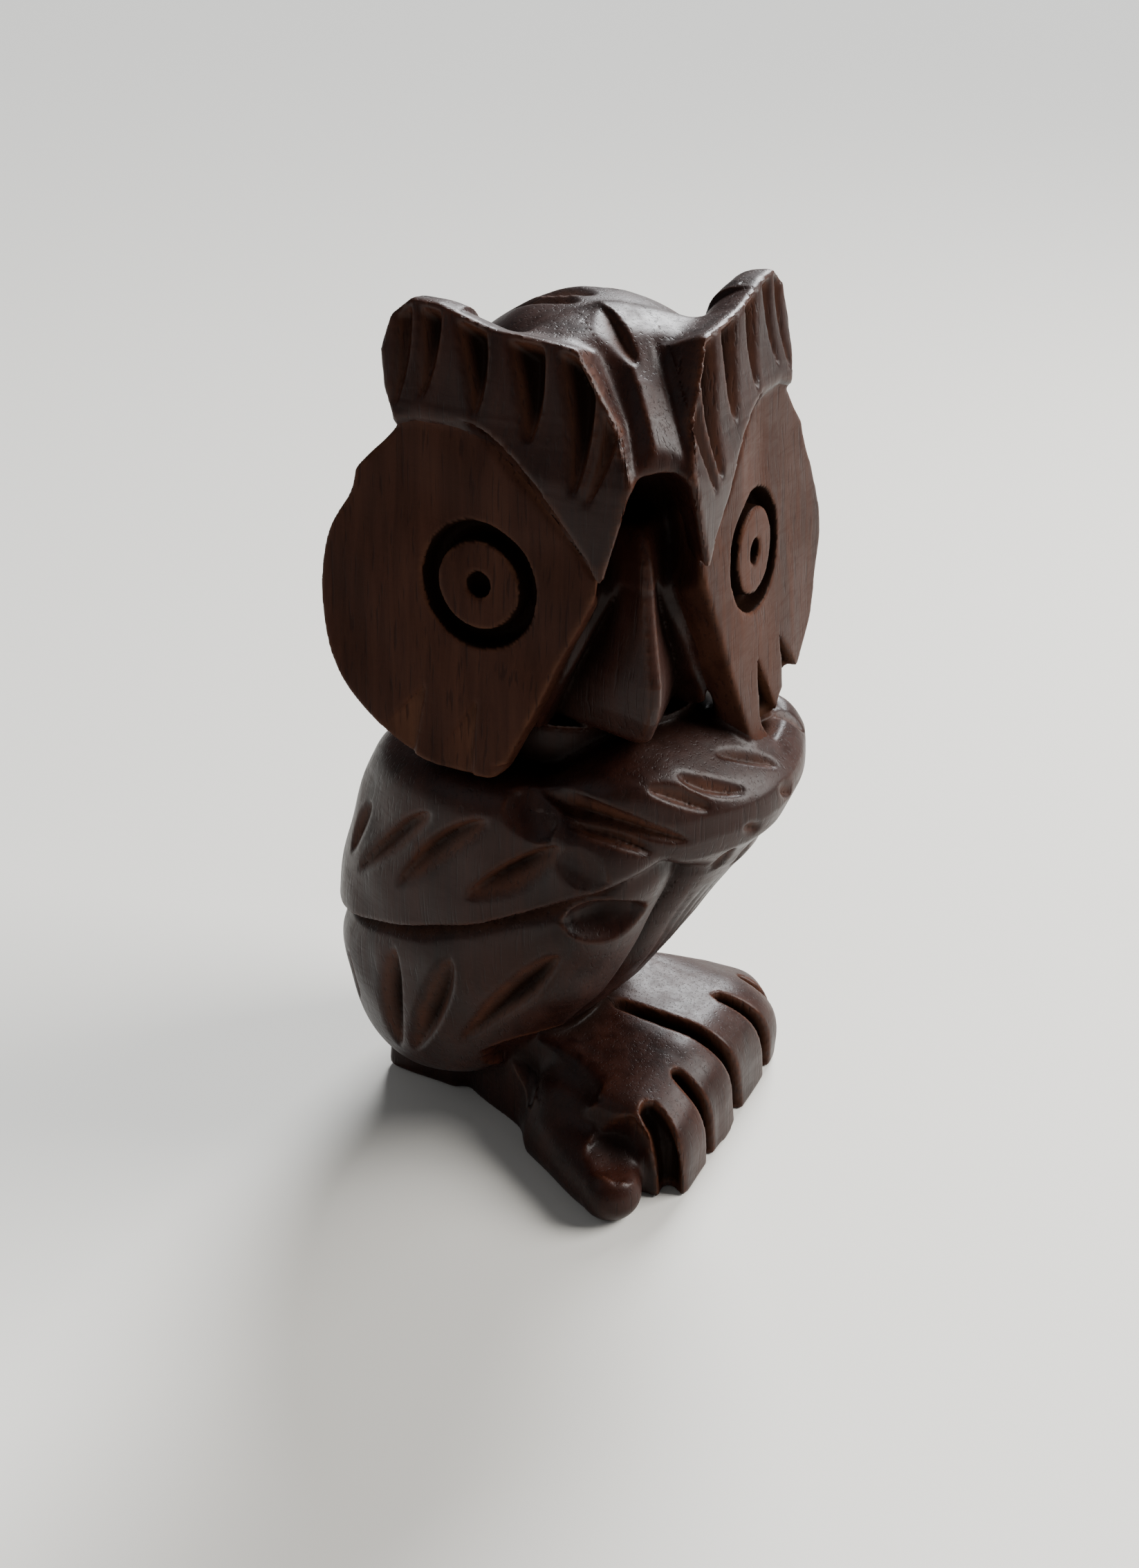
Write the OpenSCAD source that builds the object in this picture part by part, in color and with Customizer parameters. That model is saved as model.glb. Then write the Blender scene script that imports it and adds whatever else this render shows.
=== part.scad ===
// A carved hardwood owl, standing, with its head turned over its right shoulder.
// The owl looks along -Y with its body, +Z is up, and z = 0 is the surface it stands on.
// The origin is the middle of the whole figure's footprint.
// The figure is one block of wood. Each node is one carved mass, bounded by the carver's own
// grooves, and the masses meet face to face.

/* [Head] */
// Place of the head's turning axis, along Y
head_y = -3.1; // [-4:0.1:-2]
// Place of the head's turning axis, along X
head_x = -1; // [-2:0.25:0]
// Turn of the head towards the owl's right
head_turn = 45; // [30:1:60]
// Distance from the head's axis to each facial disc, level with the eye
disc_reach = 19.4; // [18:0.1:21]
// Lean of the facial discs: the top of a disc lies further back
disc_lean = 5; // [0:0.5:8]
// Radius of a facial disc
disc_r = 19.3; // [17:0.1:20]
// Thickness of a facial disc at its rim
disc_t = 6; // [4:0.5:7]
// Height of the middle of a facial disc
disc_z = 81.5; // [80:0.5:83]
// Middle of a disc, measured outwards from the head's axis
disc_out = 6.5; // [5:0.5:7]
// Radius of the dome of the crown
crown_r = 18.5; // [17:0.5:20]
// Height of the middle of the crown's dome
crown_z = 96.5; // [95:0.5:97]
// Height of the crease between head and body
neck_z = 61.5; // [60:0.5:63]

/* [Eyes] */
// Outer radius of the ring cut round the iris
ring_r = 7.3; // [6.5:0.1:8]
// Radius of the iris left standing in the ring
iris_r = 5.2; // [4.5:0.1:5.8]
// Radius of the drilled pupil
pupil_r = 1.45; // [1:0.05:2]
// Depth of the ring
ring_depth = 2.6; // [1.5:0.1:3.5]
// Depth of the drilled pupil
pupil_depth = 2.2; // [1:0.1:2.5]
// Height of the eye
eye_z = 86.2; // [84:0.1:88]
// Middle of the eye, measured outwards from the head's axis
eye_out = 4.3; // [3:0.1:5]

/* [Brows] */
// How far a brow stands proud of its disc
brow_proud = 0.9; // [0.4:0.1:1.4]
// Number of flutes in each brow
flutes = 6; // [4:1:7]
// Radius of a flute
flute_r = 1.5; // [1:0.1:1.8]
// Gap between the brows, over the beak
brow_gap = 3.2; // [2.5:0.1:4]

/* [Body] */
// Half of the figure's width over the wings
wing_half_w = 24; // [23:0.5:24.5]
// Half thickness of a wing's bulge, side to side
wing_a = 14.5; // [13:0.5:15]
// Half depth of a wing's bulge, front to back
wing_b = 20.5; // [19:0.5:21]
// Half height of a wing's bulge, along its slope
wing_c = 41; // [40:0.5:42]
// Slope of the wings: the top lies further forward
wing_lean = 22; // [18:1:24]
// Height of the crease between the two tiers of a wing, at its back edge
tier_z = 37; // [35:0.5:39]
// Rise of that crease towards the front, in degrees
tier_rise = 18; // [12:1:22]
// Half width of the belly between the wings
belly_half_w = 10; // [9:0.5:11]
// Number of gouge cuts in each tier of a wing
wing_gouges = 4; // [2:1:4]
// Number of rows of gouge cuts down the back
back_rows = 4; // [2:1:4]

/* [Feet] */
// Distance from the middle line to the side of the outer toe
toe_reach = 24.8; // [24:0.1:25]
// Height of the foot where the belly meets it
foot_h = 16; // [14:0.5:17]
// Width of a toe
toe_w = 8.6; // [8:0.2:9]
// Width of the slots between the toes
slot_w = 2.2; // [1.6:0.1:2.6]
// Forward end of the toes
toe_y = -25.2; // [-26:0.1:-24.5]
// Back end of the slot between the feet
feet_slot_y = -4.6; // [-6:0.1:-4]

/* [Tail] */
// Back end of the tail where it stands
tail_y = 26; // [25:0.25:28]
// Width of the tail at its foot
tail_w = 19; // [16:0.5:20]
// Height of the tail
tail_h = 25; // [22:0.5:28]

/* [Hidden] */

wing_x = wing_half_w - wing_a;
// The figure reaches as far behind its origin as in front of it
wing_reach = sqrt(pow(wing_b * cos(wing_lean), 2) + pow(wing_c * sin(wing_lean), 2));
half_depth = 29.55;
wing_y = half_depth - wing_reach;
wing_z = 43.7;
wood_dark = [0.22, 0.11, 0.08];
wood_mid = [0.30, 0.16, 0.11];
wood_light = [0.40, 0.23, 0.16];
big = 200;

// ---------- helpers ----------

// A round rod of radius r from point p to point q
module rod(p, q, r) {
  d = q - p;
  translate(p)
    rotate([0, acos(d[2] / norm(d)), atan2(d[1], d[0])])
      cylinder(h = norm(d), r = r, $fn = 16);
}

// A small ball at point p, used as a corner of a hull
module knob(p, r) {
  translate(p) sphere(r = r, $fn = 16);
}

// Moves its children to the head's axis and turns them, so that -Y points between the two discs
module on_head() {
  translate([head_x, head_y, 0]) rotate([0, 0, -head_turn]) children();
}

// The working plane of one facial disc: X outwards from the beak, Y upwards from the eye's height,
// Z out of the disc. side is -1 for the owl's right and 1 for its left.
module on_face(side) {
  on_head()
    rotate([0, 0, 45 * side])
      mirror([side < 0 ? 1 : 0, 0, 0])
        translate([0, -disc_reach, eye_z])
          rotate([90 - disc_lean, 0, 0])
            children();
}

// Everything outside the back plane of one facial disc
module outside_face(side) {
  on_face(side) translate([-big / 2, -big / 2, -disc_t]) cube(big);
}

// ---------- head ----------

// Outline of a brow and its ear tuft, above the eye
module brow_outline() {
  polygon([[-11.2, 3.1], [2.8, 17], [9.9, 18.5], [13.3, 18], [15.9, 22], [16.5, 27], [15.6, 30],
           [13.5, 30.6], [10.5, 30], [3, 28.4], [-6.3, 28], [-12, 20.3], [-14.5, 14.4], [-12.9, 7]]);
}

// Outline of a facial disc: a round plate cut away along the beak and under the brow
module disc_outline() {
  difference() {
    translate([disc_out, disc_z - eye_z]) circle(r = disc_r, $fn = 96);
    polygon([[-11.2, 3.1], [-2.1, -17.3], [-4, -30], [-30, -30], [-30, 3.1]]);
    polygon([[-30, 3.1], [-11.2, 3.1], [2.8, 17], [9.9, 18.5], [30, 18], [30, 40], [-30, 40]]);
    polygon([[4.5, -14], [5.2, -27], [13.6, -26]]);
    polygon([[11.2, -14], [13.2, -25], [20.5, -24]]);
  }
}

module disc(side) {
  color(wood_mid)
    on_face(side)
      difference() {
        translate([0, 0, -disc_t]) linear_extrude(disc_t) disc_outline();
        translate([eye_out, 0, -ring_depth]) cylinder(h = big, r = ring_r, $fn = 64);
      }
}

module iris(side) {
  color(wood_light)
    on_face(side)
      translate([eye_out, 0, -ring_depth])
        difference() {
          cylinder(h = ring_depth, r = iris_r, $fn = 64);
          translate([0, 0, ring_depth - pupil_depth]) cylinder(h = big, r = pupil_r, $fn = 32);
        }
}

module brow_body(side) {
  on_face(side) translate([0, 0, -disc_t]) linear_extrude(disc_t + brow_proud) brow_outline();
}

module brow(side) {
  color(wood_mid)
    difference() {
      brow_body(side);
      on_face(side)
        for (i = [0 : flutes - 1]) {
          t = i / (flutes - 1);
          rod([12.6 - 22.5 * t, 31 - 9 * t, brow_proud + 0.5],
              [10.8 - 19.2 * t, 19.6 - 11.2 * t, brow_proud + 0.5], flute_r);
        }
      on_head() translate([side < 0 ? -brow_gap / 2 : brow_gap / 2 - big, -big, 0]) cube(big);
    }
}

// The domed block of the head, behind the discs and brows
module crown_body() {
  difference() {
    on_head()
      hull() {
        translate([0, 0, crown_z]) sphere(r = crown_r, $fn = 40);
        translate([0, 3, crown_z - 14]) sphere(r = crown_r, $fn = 40);
        translate([0, 3, neck_z]) cylinder(h = 2, r = crown_r - 4, $fn = 40);
      }
    outside_face(-1);
    outside_face(1);
  }
}

module crown() {
  color(wood_dark) crown_body();
}

// The ridge down the forehead, ending in a blunt tip over the beak
module crest() {
  color(wood_mid)
    difference() {
      on_head()
        hull() {
          knob([0, 3, crown_z + crown_r - 1.4], 2.5);
          knob([-5, -10, crown_z + crown_r - 3.2], 2);
          knob([5, -10, crown_z + crown_r - 3.2], 2);
          knob([0, -21, crown_z + 5.2], 2.2);
          knob([0, -19.5, crown_z + 3.2], 1.4);
        }
      crown_body();
      brow(-1);
      brow(1);
    }
}

module beak() {
  color(wood_dark)
    difference() {
      on_head()
        hull() {
          knob([0, -19.3, 90.5], 0.8);
          knob([0, -26, 75.5], 0.8);
          knob([0, -20.4, 69.2], 1);
          knob([-3.4, -17, 86], 1);
          knob([3.4, -17, 86], 1);
          knob([-7.5, -15, 67], 1.5);
          knob([7.5, -15, 67], 1.5);
        }
      crown_body();
      disc(-1);
      disc(1);
    }
}

// ---------- body ----------

// The leaning egg shape of one wing's bulge
module egg(side) {
  translate([side * wing_x, wing_y, wing_z])
    rotate([wing_lean, 0, 0])
      scale([wing_a, wing_b, wing_c])
        sphere(r = 1, $fn = 40);
}

// A point on the egg: az turns from the front edge to the outside, el rises along the slope
function egg_point(side, az, el) =
  let (x = wing_a * cos(el) * sin(az),
       y = -wing_b * cos(el) * cos(az),
       z = wing_c * sin(el))
  [side * (wing_x + x),
   wing_y + y * cos(wing_lean) - z * sin(wing_lean),
   wing_z + y * sin(wing_lean) + z * cos(wing_lean)];

// A point on the front (az = 0) or back (az = 180) of the trunk, x to the side of the middle line
function middle_point(x, az, el) = let (p = egg_point(1, az, el)) [x, p[1], p[2]];

// A gouge cut between two points of a wing, deepest in its middle
module wing_gouge(side, az1, el1, az2, el2, r) {
  rod(egg_point(side, az1, el1), egg_point(side, az2, el2), r);
}

// One wing with its wrist, up to the crease under the head
module wing_body(side) {
  intersection() {
    hull() {
      egg(side);
      knob([side * 16.5, -19, 55], 2.2);
      knob([side * 17.5, -13.4, 59], 2.2);
    }
    translate([side < 0 ? -big : belly_half_w, -big / 2, 0]) cube([big - belly_half_w, big, neck_z]);
  }
}

// Everything above the crease between the two tiers of a wing
module above_tier() {
  translate([-big / 2, half_depth, tier_z]) rotate([-tier_rise, 0, 0]) translate([0, -big, 0]) cube(big);
}

module wing_upper(side) {
  color(wood_mid)
    difference() {
      intersection() {
        wing_body(side);
        above_tier();
      }
      head_form();
      for (i = [0 : wing_gouges - 1])
        wing_gouge(side, 62 + 28 * i, 14 + 2 * i, 36 + 30 * i, -1 - 3 * i, 1.4);
    }
}

module wing_lower(side) {
  color(wood_dark)
    difference() {
      wing_body(side);
      above_tier();
      tail_body();
      foot_body(-1);
      foot_body(1);
      for (i = [0 : wing_gouges - 1])
        wing_gouge(side, 44 + 30 * i, -19 - 5 * i, 60 + 32 * i, -40 - 4 * i, 1.4);
    }
}

// The trunk between the wings, from the breast to the back
module trunk() {
  intersection() {
    hull() {
      egg(-1);
      egg(1);
      knob([0, -19.9, 55], 2);
    }
    translate([-belly_half_w, -big / 2, 0]) cube([2 * belly_half_w, big, neck_z]);
  }
}

// Everything behind the leaning plane that parts the belly from the back
module behind_trunk() {
  translate([-big / 2, 6.6, foot_h]) rotate([12, 0, 0]) translate([0, 0, -big / 2]) cube(big);
}

module belly() {
  color(wood_mid)
    difference() {
      trunk();
      behind_trunk();
      bib_body();
      foot_body(-1);
      foot_body(1);
      for (i = [-3 : 3], el = [-44 : 8 : -4])
        rod(middle_point(2.6 * i, 0, el), middle_point(2.6 * i, 0, el + 8), 0.7);
    }
}

module back() {
  color(wood_dark)
    difference() {
      intersection() {
        trunk();
        behind_trunk();
      }
      tail_body();
      foot_body(-1);
      foot_body(1);
      for (row = [0 : back_rows - 1], i = [-1 : 1])
        rod(middle_point(6 * i, 180, -10 + 12 * row), middle_point(6 * i, 180, -19 + 12 * row), 1.4);
    }
}

module bib_body() {
  difference() {
    hull() {
      knob([0, 2.6 - half_depth, 57.6], 2.6);
      knob([-14, -17.4, 63.5], 2);
      knob([-3, -15.4, 65], 2);
      knob([13, -18.9, 57], 2.4);
      knob([-12, -19.4, 52.5], 2);
      knob([12, -19.4, 52], 2);
      knob([0, -20.4, 43], 2);
    }
    head_form();
    wing_body(-1);
    wing_body(1);
  }
}

module bib() {
  color(wood_light)
    difference() {
      bib_body();
      for (i = [0 : 3])
        rod([-8 + 4 * i, -20.4 - 1.5 * i, 63.5 - 1.2 * i], [-3 + 5.5 * i, -27.4 + i, 61 - i], 1.1);
    }
}

// The head's whole underside, which the shoulders and the bib are cut to fit
module head_form() {
  crown_body();
  disc(-1);
  disc(1);
  beak();
}

module tail_body() {
  hull() {
    translate([-tail_w / 2, tail_y - 3, 0]) cube([tail_w, 3, 2]);
    translate([-tail_w / 2 + 1.5, 14, 0]) cube([tail_w - 3, 2, 2]);
    translate([-5, tail_y - 5, tail_h - 2]) cube([10, 2, 2]);
  }
}

module tail() {
  color(wood_dark)
    difference() {
      tail_body();
      for (i = [-1 : 1])
        rod([tail_w / 5 * i, tail_y + 0.3, -1], [2 * i, tail_y - 3, tail_h], 0.8);
    }
}

// ---------- feet ----------

// One foot before its toes are parted
module foot_body(side) {
  mirror([side < 0 ? 1 : 0, 0, 0])
    hull() {
      for (x = [5.6, 15.4])
        translate([x, toe_y + toe_w / 2, 0]) cylinder(h = 9.5, r = toe_w / 2, $fn = 32);
      translate([toe_reach - 3.6, toe_y + 10, 0]) cylinder(h = 8.5, r = 3.6, $fn = 32);
      translate([0, -5, 0]) cube([15.3, 2, foot_h]);
      translate([0, 13.6, 0]) cube([7.8, 2, foot_h - 8]);
    }
}

// A slot with a round end, parting two toes
module toe_slot(from, to) {
  hull() {
    for (p = [from, to])
      translate([p[0], p[1], -1]) cylinder(h = big, r = slot_w / 2, $fn = 32);
  }
}

module foot(side) {
  color(wood_dark)
    difference() {
      foot_body(side);
      tail_body();
      mirror([side < 0 ? 1 : 0, 0, 0]) {
        toe_slot([0, toe_y - 3], [0, feet_slot_y]);
        toe_slot([10.4, toe_y - 3], [10.2, toe_y + 9.5]);
        toe_slot([19.8, toe_y - 3], [16.6, toe_y + 10.5]);
      }
    }
}

crown();
crest();
disc(-1);  // disc_right
disc(1);  // disc_left
iris(-1);  // iris_right
iris(1);  // iris_left
brow(-1);  // brow_right
brow(1);  // brow_left
beak();
bib();
belly();
back();
tail();
wing_upper(-1);  // wing_right_upper
wing_lower(-1);  // wing_right_lower
wing_upper(1);  // wing_left_upper
wing_lower(1);  // wing_left_lower
foot(-1);  // foot_right
foot(1);  // foot_left
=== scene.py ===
"""A carved hardwood owl. One field of distances is shaped the way a carver works: a few rounded
masses are joined, then cut with V-tools and gouges. The field is meshed one named mass at a time,
and a procedural wax-polished hardwood covers it."""
import math

import bpy
import numpy as np
import openvdb
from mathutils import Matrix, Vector


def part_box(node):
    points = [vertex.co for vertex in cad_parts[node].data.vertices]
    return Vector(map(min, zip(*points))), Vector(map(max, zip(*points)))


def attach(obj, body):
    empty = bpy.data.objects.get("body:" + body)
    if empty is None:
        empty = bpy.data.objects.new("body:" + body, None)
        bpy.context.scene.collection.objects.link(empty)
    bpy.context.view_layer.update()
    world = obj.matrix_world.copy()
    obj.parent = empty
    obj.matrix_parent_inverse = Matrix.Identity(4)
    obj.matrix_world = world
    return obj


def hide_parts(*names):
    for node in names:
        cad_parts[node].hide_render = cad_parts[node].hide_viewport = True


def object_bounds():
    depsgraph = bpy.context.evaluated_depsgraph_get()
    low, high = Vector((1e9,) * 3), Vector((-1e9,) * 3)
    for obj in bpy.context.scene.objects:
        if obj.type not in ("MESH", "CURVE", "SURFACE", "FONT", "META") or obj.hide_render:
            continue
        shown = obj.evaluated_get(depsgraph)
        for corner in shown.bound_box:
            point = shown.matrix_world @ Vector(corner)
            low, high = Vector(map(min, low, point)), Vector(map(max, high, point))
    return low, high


MM = 0.001
# edge of a cell of the field, in millimetres
STEP = 0.34
# a distance well outside the wood
FAR = 9.0
# layers of cells that are worked on at a time, to save memory
SLAB = 16

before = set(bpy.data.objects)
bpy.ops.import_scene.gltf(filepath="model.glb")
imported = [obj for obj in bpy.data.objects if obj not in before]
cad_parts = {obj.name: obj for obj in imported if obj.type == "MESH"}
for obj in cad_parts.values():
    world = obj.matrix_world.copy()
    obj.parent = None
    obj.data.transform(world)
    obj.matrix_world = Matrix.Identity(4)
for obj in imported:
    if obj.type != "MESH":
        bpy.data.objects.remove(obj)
cad_low, cad_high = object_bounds()


# ---------- places, read from the frame, in millimetres ----------

def box_mm(node):
    low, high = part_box(node)
    return np.array(low) / MM, np.array(high) / MM


def middle_mm(node):
    low, high = box_mm(node)
    return (low + high) / 2


FIGURE_LOW = np.array(cad_low) / MM
FIGURE_HIGH = np.array(cad_high) / MM

# the head: its axis lies inwards of both irises by the same distance
EYE_OUT = 4.3
EYE_Z = middle_mm("iris_right")[2]
HEAD_X = middle_mm("iris_left")[0] - EYE_OUT
HEAD_Y = middle_mm("iris_right")[1] - EYE_OUT
# the head is turned by 45 degrees
TURN = math.sqrt(0.5)
# a facial disc leans back a little, and its centre lies outwards of the eye and below it
DISC_LEAN = math.radians(5)
RING_R = 7.3
IRIS_R = 5.2
PUPIL_R = 1.45
RING_DEPTH = 2.6
DISC_REACH = HEAD_X - box_mm("iris_right")[0][0] - IRIS_R * math.sin(DISC_LEAN)
DISC_R = 19.3
DISC_OUT = 6.5
DISC_DOWN = 4.7

# the body: a leaning egg, stretched sideways
WING_HALF_W = box_mm("wing_left_lower")[1][0]
WING_A = 14.5
WING_B = 20.5
WING_C = 41.0
WING_X = WING_HALF_W - WING_A
LEAN = math.radians(22)
WING_Y = FIGURE_HIGH[1] - math.hypot(WING_B * math.cos(LEAN), WING_C * math.sin(LEAN))
WING_Z = 43.7
# the two wrists aren't carved alike: the left one is thrust further forward
WRISTS = {-1: (-14.0, -12.4, 52.5), 1: (15.5, -16.9, 52.4)}
NECK_Z = box_mm("crown")[0][2]
TIER_SLOPE = 0.34
TIER_Z = 41.6
PROW_Y = box_mm("bib")[0][1]
TOE_Y = box_mm("foot_left")[0][1]
TAIL_Y = box_mm("tail")[1][1]


# ---------- distances ----------

def smooth_min(a, b, k):
    h = np.clip(0.5 + 0.5 * (b - a) / k, 0, 1)
    return b + (a - b) * h - k * h * (1 - h)


def smooth_max(a, b, k):
    return -smooth_min(-a, -b, k)


def ellipsoid(x, y, z, radii):
    """Distance to an ellipsoid about the origin, true near its surface."""
    a, b, c = radii
    k0 = np.sqrt((x / a) ** 2 + (y / b) ** 2 + (z / c) ** 2) + 1e-6
    k1 = np.sqrt((x / a ** 2) ** 2 + (y / b ** 2) ** 2 + (z / c ** 2) ** 2) + 1e-6
    return k0 * (k0 - 1) / k1


def rod(x, y, z, p, q, r_p, r_q):
    """Distance to a round rod from p to q whose radius changes evenly."""
    p, q = np.array(p, float), np.array(q, float)
    d = q - p
    t = np.clip(((x - p[0]) * d[0] + (y - p[1]) * d[1] + (z - p[2]) * d[2]) / (d @ d), 0, 1)
    away = np.sqrt((x - p[0] - t * d[0]) ** 2 + (y - p[1] - t * d[1]) ** 2 + (z - p[2] - t * d[2]) ** 2)
    return away - (r_p + (r_q - r_p) * t)


def polygon(u, v, corners):
    """Signed distance in the plane to a closed outline, negative inside."""
    best = np.full(np.broadcast(u, v).shape, 1e9, np.float32)
    inside = np.zeros(best.shape, bool)
    for (u0, v0), (u1, v1) in zip(corners, corners[1:] + corners[:1]):
        du, dv = u1 - u0, v1 - v0
        t = np.clip(((u - u0) * du + (v - v0) * dv) / (du * du + dv * dv), 0, 1)
        best = np.minimum(best, (u - u0 - t * du) ** 2 + (v - v0 - t * dv) ** 2)
        crosses = (v0 > v) != (v1 > v)
        inside ^= crosses & (u < (v - v0) / (dv if dv else 1e-9) * du + u0)
    return np.where(inside, -1, 1) * np.sqrt(best)


# ---------- working frames ----------

def face_frame(x, y, z, side):
    """Coordinates of one facial disc: outwards from the beak, up from the eye, out of the wood."""
    along = y - HEAD_Y if side < 0 else x - HEAD_X
    depth = (HEAD_X - x if side < 0 else HEAD_Y - y) - DISC_REACH
    up = z - EYE_Z
    c, s = math.cos(DISC_LEAN), math.sin(DISC_LEAN)
    return along, up * c - depth * s, depth * c + up * s


def on_face(u, h, n, side):
    """The point of the figure at these coordinates of a facial disc."""
    c, s = math.cos(DISC_LEAN), math.sin(DISC_LEAN)
    depth = n * c - h * s + DISC_REACH
    z = EYE_Z + h * c + n * s
    if side < 0:
        return np.array([HEAD_X - depth, HEAD_Y + u, z])
    return np.array([HEAD_X + u, HEAD_Y - depth, z])


def head_frame(x, y):
    """Coordinates of the turned head: across it, and forwards towards the beak."""
    across = (x - HEAD_X) * TURN - (y - HEAD_Y) * TURN
    forward = -(x - HEAD_X) * TURN - (y - HEAD_Y) * TURN
    return across, forward


def on_head(across, forward, z):
    """The point of the figure at these coordinates of the head."""
    return np.array([HEAD_X + (across - forward) * TURN, HEAD_Y - (across + forward) * TURN, z])


def body_frame(y, z):
    """Coordinates along the leaning body: front to back, and along its slope."""
    c, s = math.cos(LEAN), math.sin(LEAN)
    dy, dz = y - WING_Y, z - WING_Z
    return dy * c + dz * s, dz * c - dy * s


# ---------- the masses ----------

# the part of a disc that runs up under its brow, as (u, h)
DISC_BRIDGE = [(-11.2, 3.1), (-7.6, 7.6), (-3.1, 12.8), (2.8, 16.4), (8, 17.6),
               (14, 17.6), (19.6, 10.5), (8, -8)]
# the foot block from above on each side, as (outwards, y)
PLANS = {
    -1: [(0, TOE_Y + 4.2), (12.2, TOE_Y + 4), (12.4, -12), (11, -5), (4, 12), (0, 12)],
    1: [(0, TOE_Y + 4.2), (18, TOE_Y + 4.2), (20.8, TOE_Y + 7.5), (19, -13), (12, -5), (4, 12), (0, 12)],
}
# a brow as (u, h): its lower edge from the beak outwards, then back over the ear tuft
BROW_OUTLINE = [(-11.3, 2.6), (-6, 8.6), (-2, 13), (2.8, 16.6), (7, 17.8), (12, 18), (15, 17),
                (16.6, 20.5), (17.2, 24.5), (16.2, 28.4), (13.8, 30.6), (10.5, 30.7), (5, 29),
                (-1, 28.3), (-6, 28), (-9, 25.2), (-12, 20.6), (-14.6, 14.6), (-13.2, 8)]


def disc_edge(u, h):
    """Distance beyond the straight inner edge of a disc, which bends outwards near the bottom."""
    return smooth_max(-(u + 11.3) * 0.915 - (h - 3.1) * 0.405, -(u + 6.2) * 0.9 - (h + 8.6) * 0.44, 2.0)


def disc_mass(side, face=0.0):
    """A facial disc, with its front moved out of the wood by a distance."""
    def form(x, y, z):
        u, h, n = face_frame(x, y, z, side)
        r = np.hypot(u - DISC_OUT, h + DISC_DOWN) - DISC_R
        r = smooth_min(r, polygon(u, h, DISC_BRIDGE), 5)
        flat = smooth_max(r, disc_edge(u, h), 1.0)
        back = -(n + 4.2) + 0.28 * flat
        return smooth_max(smooth_max(flat, n - face, 0.5), back, 2.0)
    return form


def brow_front(h):
    """How far a brow stands proud of its disc."""
    return 1.2 - 0.10 * np.clip(h - 14, 0, 16)


def brow_ridge(u):
    """The height of the crisp ridge along the top of a brow."""
    return np.interp(u, [-15, -12, -6.5, 3, 10, 13.5, 16, 17.5],
                     [13.5, 20.3, 27.8, 28.6, 30.2, 30.6, 29, 25])


def brow_mass(side):
    def form(x, y, z):
        u, h, n = face_frame(x, y, z, side)
        edge = polygon(u, h, BROW_OUTLINE)
        front = n - brow_front(h)
        # the top falls back from a crisp ridge to the crown
        top = (h - brow_ridge(u)) + np.clip(-n - 0.5, 0, 9) * np.where(u < 8, 0.30, 0.10)
        back = -(n + 8.0) + 0.10 * np.clip(h - 16, 0, 20)
        body = smooth_max(smooth_max(edge, front, 0.9), top * 0.9, 0.9)
        return smooth_max(body, back, 4.0)
    return form


def crown_mass(x, y, z):
    a, f = head_frame(x, y)
    dome = ellipsoid(a, f, z - 96, (18.6, 18.6, 18.9))
    back = ellipsoid(a, f + 3.5, z - 84, (19.5, 17.5, 23))
    neck = np.sqrt(a ** 2 + (f + 1) ** 2) - 14.5
    neck = smooth_max(neck, np.abs(z - 70) - 14, 1)
    shape = smooth_min(smooth_min(dome, back, 5), neck, 5)
    # the forehead slopes down from the crown between the two brows
    slope = (z - 107.2 + 0.95 * (f - 16.4) - 0.022 * a ** 2) * 0.7
    walls = smooth_max(face_frame(x, y, z, -1)[2], face_frame(x, y, z, 1)[2], 1) + 1.5
    sides = smooth_max(np.abs(a) - 12 + 0.9 * np.clip(f - 16, 0, 9), z - 112.5, 1)
    forehead = smooth_max(smooth_max(slope, walls, 1.5), smooth_max(95 - z, 7 - f, 1), 1)
    forehead = smooth_max(forehead, sides, 1)
    return smooth_min(shape, forehead, 4)


def crest_mass(x, y, z):
    a, f = head_frame(x, y)
    # a crisp ridge, with a steep plane on its right and a broad facet on its left
    line = np.interp(f, [2, 8, 13, 17, 20, 22, 24], [115.0, 114.4, 112.2, 109.8, 107.0, 104.6, 101.6])
    a = a + 0.6
    sides = 1.15 * np.maximum(-a, 0) + 0.42 * np.maximum(a, 0) + 1.6 * np.maximum(a - 3.0, 0)
    stem = smooth_max((z - line + sides) * 0.66, f - 22.7 + 0.12 * np.abs(a), 0.5)
    stem = smooth_max(stem, 4 - f, 2)
    return smooth_max(stem, 100.6 - z, 0.8)


def beak_ridge(z):
    """How far forward the ridge of the beak stands."""
    return np.interp(z, [67.3, 68.4, 71.8, 74.3, 76.5, 79.3, 83, 90, 93],
                     [18.6, 20.6, 22.9, 23.7, 23.7, 22.8, 21.7, 19.9, 18.5])


def beak_mass(x, y, z):
    a, f = head_frame(x, y)
    ridge = beak_ridge(z)
    facet = np.interp(z, [67, 71, 80, 90], [1.5, 1.5, 0.5, 0.25])
    # a trough runs down each side of the ridge
    trough = np.interp(z, [66, 70, 80, 92], [17.2, 16.2, 15.2, 13.6])
    away = np.maximum(np.abs(a) - facet, 0)
    front = trough + (ridge - trough) * np.exp(-(away / 2.3) ** 1.5)
    front = front - 0.65 * np.maximum(np.abs(a) - 5.5, 0)
    shape = smooth_max((f - front) * 0.62, np.abs(a) - 10.5, 1.0)
    return smooth_max(smooth_max(shape, 67.6 - z, 0.8), z - 94, 2)


def egg(x, y, z, grow=0.0, waist=WING_X):
    along, up = body_frame(y, z)
    across = np.maximum(np.abs(x) - waist, 0)
    return ellipsoid(across, along, up, (WING_A + grow, WING_B + grow, WING_C + grow))


def tier(y, z):
    """Height above the crease between the two tiers of a wing, which climbs to the wrist."""
    return (z + TIER_SLOPE * y + 0.24 * np.minimum(y, 0) - TIER_Z) / 1.1


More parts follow.
